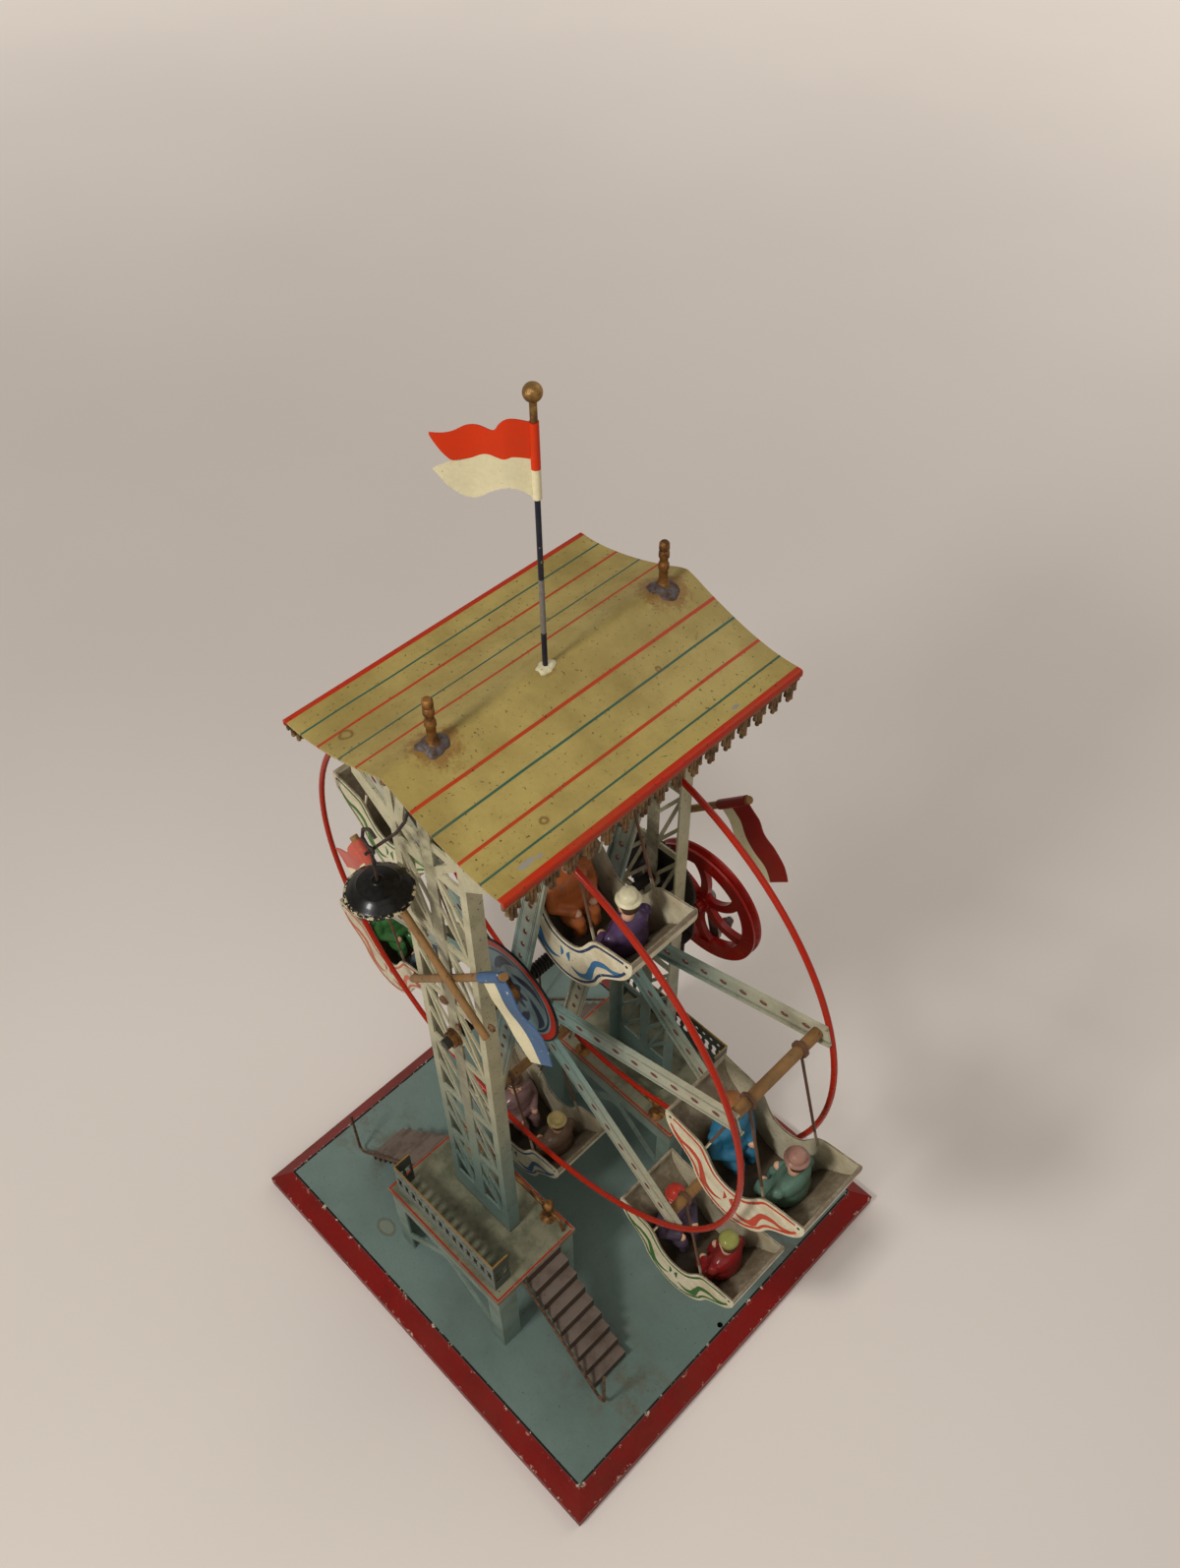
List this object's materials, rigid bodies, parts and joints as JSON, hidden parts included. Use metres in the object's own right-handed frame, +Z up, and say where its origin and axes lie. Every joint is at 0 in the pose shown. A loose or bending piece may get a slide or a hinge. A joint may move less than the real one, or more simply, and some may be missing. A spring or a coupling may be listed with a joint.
{
  "type": "crank ferris wheel toy",
  "caption": "Tinplate ferris wheel toy on a square base: lattice towers, canopy roof, hanging gondolas, and a flywheel crank geared to the wheel axle.",
  "frame": {"origin": "centre of the underside of the base", "axes": "+X in the plane of the wheel, +Y along the axle toward the crank side, +Z up"},
  "size_m": [0.2442, 0.1854, 0.4165],
  "materials": {
    "base_paint": "aged blue enamel with a red border",
    "platform_paint": "worn grey enamel",
    "trestle_paint": "worn pale blue enamel",
    "railing_paint": "worn pale blue enamel",
    "stair_paint": "worn mauve brown enamel",
    "iron_wire": "dark rusty iron",
    "old_brass": "dull old brass",
    "tower_paint": "aged cream enamel",
    "roof_paint": "aged yellow cream enamel with painted stripes",
    "black_paint": "glossy black enamel",
    "pole_paint": "chipped navy black enamel",
    "flag_paint": "glossy red and cream enamel",
    "ochre_paint": "worn ochre brown enamel",
    "ring_paint": "glossy red enamel",
    "spoke_paint": "cream and pale blue enamel",
    "disc_paint": "pale blue enamel",
    "flywheel_paint": "glossy dark red enamel on cast iron",
    "bare_steel": "dull bare steel",
    "knob_wood": "dark turned wood",
    "gondola_paint": "cream enamel with coloured lines",
    "rider_paint": "chipped gloss paint on cast composition"
  },
  "bodies": {
    "frame": {"base_pan": "base_paint", "front_deck": "platform_paint", "rear_deck": "platform_paint", "front_trestles": "trestle_paint", "rear_trestles": "trestle_paint", "front_railing": "railing_paint", "rear_railing": "railing_paint", "front_stair_left": "stair_paint", "front_stair_right": "stair_paint", "rear_stair_left": "stair_paint", "rear_stair_right": "stair_paint", "stair_handrails": "iron_wire", "gate_posts": "old_brass", "gate_bars": "old_brass", "front_tower": "tower_paint", "rear_tower": "tower_paint", "axle_bearings": "old_brass", "crank_bearings": "old_brass", "crank_bracket": "iron_wire", "roof_canopy": "roof_paint", "left_fringe": "old_brass", "right_fringe": "old_brass", "roof_finials": "old_brass", "flagpole": "pole_paint", "flagpole_ball": "old_brass", "front_flag_rods": "ochre_paint", "rear_flag_rod": "ochre_paint", "front_left_flag": "flag_paint", "front_right_flag": "flag_paint", "rear_right_flag": "flag_paint", "lamp_bracket": "iron_wire"},
    "wheel": {"wheel_axle": "black_paint", "front_ring": "ring_paint", "rear_ring": "ring_paint", "front_spokes": "spoke_paint", "rear_spokes": "spoke_paint", "cross_rods": "ochre_paint", "front_hub_disc": "disc_paint", "rear_hub_disc": "disc_paint", "drive_gear": "black_paint", "axle_collars": "old_brass"},
    "crank": {"crankshaft": "bare_steel", "pinion": "bare_steel", "flywheel": "flywheel_paint", "crank_arm": "bare_steel"},
    "knob": {"crank_knob": "knob_wood"},
    "gondola_1": {"gondola_1": "gondola_paint", "riders_1": "rider_paint"},
    "gondola_2": {"gondola_2": "gondola_paint", "riders_2": "rider_paint"},
    "gondola_3": {"gondola_3": "gondola_paint", "riders_3": "rider_paint"},
    "gondola_4": {"gondola_4": "gondola_paint", "riders_4": "rider_paint"},
    "gondola_5": {"gondola_5": "gondola_paint"},
    "gondola_6": {"gondola_6": "gondola_paint", "riders_6": "rider_paint"},
    "roof_flag": {"roof_flag": "flag_paint"},
    "lamp": {"lamp_hook": "iron_wire", "lamp_shade": "black_paint"}
  },
  "joints": [
    {"name": "wheel_spin", "type": "hinge", "parent": "frame", "child": "wheel", "pos_m": [0, 0, 0.1941], "axis": [0, 1, 0], "continuous": true},
    {"name": "crank_spin", "type": "hinge", "parent": "frame", "child": "crank", "pos_m": [0.01359, 0.06, 0.1779], "axis": [0, 1, 0], "continuous": true},
    {"name": "knob_spin", "type": "hinge", "parent": "crank", "child": "knob", "pos_m": [0.01804, 0.07, 0.15697], "axis": [0, 1, 0], "continuous": true},
    {"name": "flag_swivel", "type": "hinge", "parent": "frame", "child": "roof_flag", "pos_m": [0, 0, 0.395], "axis": [0, 0, 1], "continuous": true},
    {"name": "lamp_swing", "type": "hinge", "parent": "frame", "child": "lamp", "pos_m": [-0.0098, -0.0585, 0.2938], "axis": [0, 1, 0], "range_deg": [-25, 8]},
    {"name": "gondola_1_swing", "type": "hinge", "parent": "wheel", "child": "gondola_1", "pos_m": [0.0933, 0, 0.22568], "axis": [0, 1, 0], "continuous": true},
    {"name": "gondola_2_swing", "type": "hinge", "parent": "wheel", "child": "gondola_2", "pos_m": [0.074, 0, 0.12909], "axis": [0, 1, 0], "continuous": true},
    {"name": "gondola_3_swing", "type": "hinge", "parent": "wheel", "child": "gondola_3", "pos_m": [-0.0193, 0, 0.09751], "axis": [0, 1, 0], "continuous": true},
    {"name": "gondola_4_swing", "type": "hinge", "parent": "wheel", "child": "gondola_4", "pos_m": [-0.0933, 0, 0.16252], "axis": [0, 1, 0], "continuous": true},
    {"name": "gondola_5_swing", "type": "hinge", "parent": "wheel", "child": "gondola_5", "pos_m": [-0.074, 0, 0.25911], "axis": [0, 1, 0], "continuous": true},
    {"name": "gondola_6_swing", "type": "hinge", "parent": "wheel", "child": "gondola_6", "pos_m": [0.0193, 0, 0.29069], "axis": [0, 1, 0], "continuous": true}
  ],
  "couplings": [
    {"joint": "crank_spin", "follows": "wheel_spin", "ratio": -6.8333},
    {"joint": "gondola_1_swing", "follows": "wheel_spin", "ratio": -1},
    {"joint": "gondola_2_swing", "follows": "wheel_spin", "ratio": -1},
    {"joint": "gondola_3_swing", "follows": "wheel_spin", "ratio": -1},
    {"joint": "gondola_4_swing", "follows": "wheel_spin", "ratio": -1},
    {"joint": "gondola_5_swing", "follows": "wheel_spin", "ratio": -1},
    {"joint": "gondola_6_swing", "follows": "wheel_spin", "ratio": -1}
  ]
}
